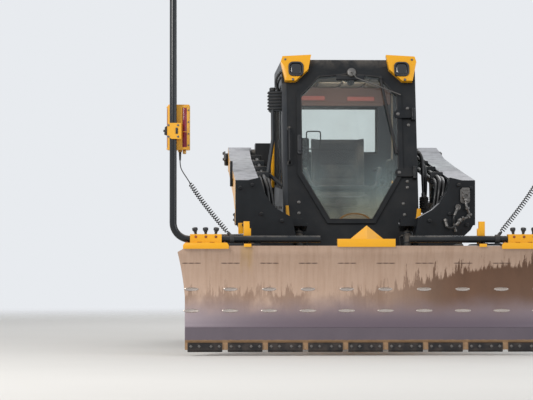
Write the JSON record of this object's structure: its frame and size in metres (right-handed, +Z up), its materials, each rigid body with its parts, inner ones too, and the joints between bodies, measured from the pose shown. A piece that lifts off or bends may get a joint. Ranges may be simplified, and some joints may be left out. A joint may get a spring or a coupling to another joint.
{
  "type": "compact track loader with a dozer blade",
  "caption": "Compact track loader with a closed cab and a wide dozer blade on its boom; two bent masts on the blade's lip carry laser receivers.",
  "frame": {"origin": "on the ground, on the mid-plane, halfway along the overall length", "axes": "+Z up, the machine faces -Y, +X to the machine's left"},
  "size_m": [2.69, 4, 2.65],
  "materials": {
    "yellow_paint": "gloss, dusty",
    "black_paint": "satin, textured",
    "grey_paint": "satin",
    "track_rubber": "worn, dusty",
    "wheel_steel": "worn",
    "engine_iron": "rough",
    "worn_steel": "polished by soil, brown smears",
    "edge_steel": "polished by soil",
    "chrome_rod": "mirror",
    "glass": "clear",
    "lamp_lens": "clear over reflector",
    "headliner_plastic": "moulded",
    "control_plastic": "moulded",
    "seat_fabric": "woven",
    "mast_paint": "satin powder coat",
    "receiver_plastic": "moulded housing",
    "knob_plastic": "ribbed",
    "cord_rubber": "satin"
  },
  "bodies": {
    "chassis": {"main_frame": "black_paint", "track_frames": "black_paint", "track_left": "track_rubber", "track_right": "track_rubber", "track_wheels": "wheel_steel", "drive_sprockets": "wheel_steel", "rear_bumper": "black_paint", "engine_block": "engine_iron", "boom_towers": "yellow_paint", "engine_covers": "yellow_paint", "cab_front": "black_paint", "cab_sides": "grey_paint", "cab_windows": "glass", "cab_rear": "grey_paint", "cab_roof": "grey_paint", "cab_floor": "control_plastic", "headliner": "headliner_plastic", "door_hinges": "black_paint", "lamp_housings": "yellow_paint", "work_lamps": "lamp_lens", "seat_base": "control_plastic", "seat_cushion": "seat_fabric", "seat_back": "seat_fabric", "cab_controls": "control_plastic"},
    "front_door": {"front_door_border": "black_paint", "front_door_glass": "glass"},
    "hood": {"hood": "black_paint"},
    "rear_door": {"rear_door": "yellow_paint"},
    "boom": {"boom_arm_left": "yellow_paint", "boom_arm_right": "yellow_paint", "boom_cross_tube": "black_paint"},
    "lift_barrels": {"lift_cylinder_barrels": "black_paint"},
    "lift_rods": {"lift_cylinder_rods": "chrome_rod"},
    "tilt_barrels": {"tilt_cylinder_barrels": "black_paint"},
    "tilt_rods": {"tilt_cylinder_rods": "chrome_rod"},
    "tool": {"coupler": "black_paint", "push_frame": "yellow_paint"},
    "yoke": {"blade_yoke": "yellow_paint"},
    "angle_barrel_left": {"angle_barrel_left": "black_paint"},
    "angle_rod_left": {"angle_rod_left": "chrome_rod"},
    "angle_barrel_right": {"angle_barrel_right": "black_paint"},
    "angle_rod_right": {"angle_rod_right": "chrome_rod"},
    "blade_tilt_barrel": {"blade_tilt_barrel": "black_paint"},
    "blade_tilt_rod": {"blade_tilt_rod": "chrome_rod"},
    "blade": {"moldboard": "worn_steel", "cutting_edge": "edge_steel", "blade_back_frame": "yellow_paint", "mast_clamps": "yellow_paint", "clamp_knobs": "knob_plastic", "lip_sights": "yellow_paint"},
    "mast_left": {"mast_left": "mast_paint", "laser_receiver_left": "receiver_plastic", "cord_lead_left": "cord_rubber", "cord_coil_left": "cord_rubber", "cord_ends_left": "cord_rubber"},
    "mast_right": {"mast_right": "mast_paint", "laser_receiver_right": "receiver_plastic", "cord_lead_right": "cord_rubber", "cord_coil_right": "cord_rubber", "cord_ends_right": "cord_rubber"}
  },
  "joints": [
    {"name": "boom_lift", "type": "hinge", "parent": "chassis", "child": "boom", "pos_m": [0, 1.5, 1.48], "axis": [-1, 0, 0], "range_deg": [0, 60]},
    {"name": "lift_barrel_swing", "type": "hinge", "parent": "chassis", "child": "lift_barrels", "pos_m": [0, 1.42, 0.98], "axis": [-1, 0, 0], "range_deg": [-0.01, 51.47]},
    {"name": "lift_rod_slide", "type": "slide", "parent": "lift_barrels", "child": "lift_rods", "axis": [0, -0.9872, 0.1595], "range_m": [-0.0001, 0.47678]},
    {"name": "tool_tilt", "type": "hinge", "parent": "boom", "child": "tool", "pos_m": [0, -1.04, 0.27], "axis": [1, 0, 0], "range_deg": [-20, 40]},
    {"name": "tilt_barrel_swing", "type": "hinge", "parent": "boom", "child": "tilt_barrels", "pos_m": [0, -0.8, 0.9], "axis": [1, 0, 0], "range_deg": [-10.56, 5.29]},
    {"name": "tilt_rod_slide", "type": "slide", "parent": "tilt_barrels", "child": "tilt_rods", "axis": [0, -0.4874, -0.8732], "range_m": [-0.04267, 0.08523]},
    {"name": "blade_angle", "type": "hinge", "parent": "tool", "child": "yoke", "pos_m": [0, -1.48, 0.4], "axis": [0, 0, 1], "range_deg": [-25, 25]},
    {"name": "blade_tilt", "type": "hinge", "parent": "yoke", "child": "blade", "pos_m": [0, -1.7, 0.4], "axis": [0, -1, 0], "range_deg": [-8, 8]},
    {"name": "blade_tilt_barrel_swing", "type": "hinge", "parent": "yoke", "child": "blade_tilt_barrel", "pos_m": [-0.19, -1.665, 0.6], "axis": [0, -1, 0], "range_deg": [-4.91, 4.91]},
    {"name": "blade_tilt_rod_slide", "type": "slide", "parent": "blade_tilt_barrel", "child": "blade_tilt_rod", "axis": [1, 0, 0], "range_m": [-0.02801, 0.02801]},
    {"name": "front_door_swing", "type": "hinge", "parent": "chassis", "child": "front_door", "pos_m": [0.474, -0.52771, 1.51702], "axis": [0, 0.2419, 0.9703], "range_deg": [0, 80]},
    {"name": "hood_lift", "type": "hinge", "parent": "chassis", "child": "hood", "pos_m": [0, 1.026, 1.409], "axis": [1, 0, 0], "range_deg": [0, 55]},
    {"name": "rear_door_swing", "type": "hinge", "parent": "chassis", "child": "rear_door", "pos_m": [0.464, 1.926, 0.97], "axis": [0, 0, -1], "range_deg": [0, 100]},
    {"name": "mast_left_fold", "type": "hinge", "parent": "blade", "child": "mast_left", "pos_m": [0.9, -1.93, 0.79], "axis": [1, 0, 0], "range_deg": [0, 90]},
    {"name": "mast_right_fold", "type": "hinge", "parent": "blade", "child": "mast_right", "pos_m": [-0.9, -1.93, 0.79], "axis": [1, 0, 0], "range_deg": [0, 90]},
    {"name": "angle_barrel_left_swing", "type": "hinge", "parent": "tool", "child": "angle_barrel_left", "pos_m": [0.39, -1.19, 0.4], "axis": [0, 0, 1], "range_deg": [-0.153, 0.153]},
    {"name": "angle_rod_left_slide", "type": "slide", "parent": "angle_barrel_left", "child": "angle_rod_left", "axis": [-0.4094, -0.9124, 0], "range_m": [-0.1004, 0.1004]},
    {"name": "angle_barrel_right_swing", "type": "hinge", "parent": "tool", "child": "angle_barrel_right", "pos_m": [-0.39, -1.19, 0.4], "axis": [0, 0, 1], "range_deg": [-0.153, 0.153]},
    {"name": "angle_rod_right_slide", "type": "slide", "parent": "angle_barrel_right", "child": "angle_rod_right", "axis": [0.4094, -0.9124, 0], "range_m": [-0.1004, 0.1004]}
  ],
  "couplings": [
    {"joint": "lift_barrel_swing", "follows": "boom_lift", "ratio": 0.85772},
    {"joint": "lift_rod_slide", "follows": "boom_lift", "m_per_rad": 0.4552},
    {"joint": "tilt_barrel_swing", "follows": "tool_tilt", "ratio": -0.26386},
    {"joint": "tilt_rod_slide", "follows": "tool_tilt", "m_per_rad": 0.12194},
    {"joint": "blade_tilt_barrel_swing", "follows": "blade_tilt", "ratio": 0.6126},
    {"joint": "blade_tilt_rod_slide", "follows": "blade_tilt", "m_per_rad": -0.19988},
    {"joint": "angle_barrel_left_swing", "follows": "blade_angle", "ratio": 0.00572},
    {"joint": "angle_rod_left_slide", "follows": "blade_angle", "m_per_rad": -0.22988},
    {"joint": "angle_barrel_right_swing", "follows": "blade_angle", "ratio": 0.00572},
    {"joint": "angle_rod_right_slide", "follows": "blade_angle", "m_per_rad": 0.22988}
  ]
}
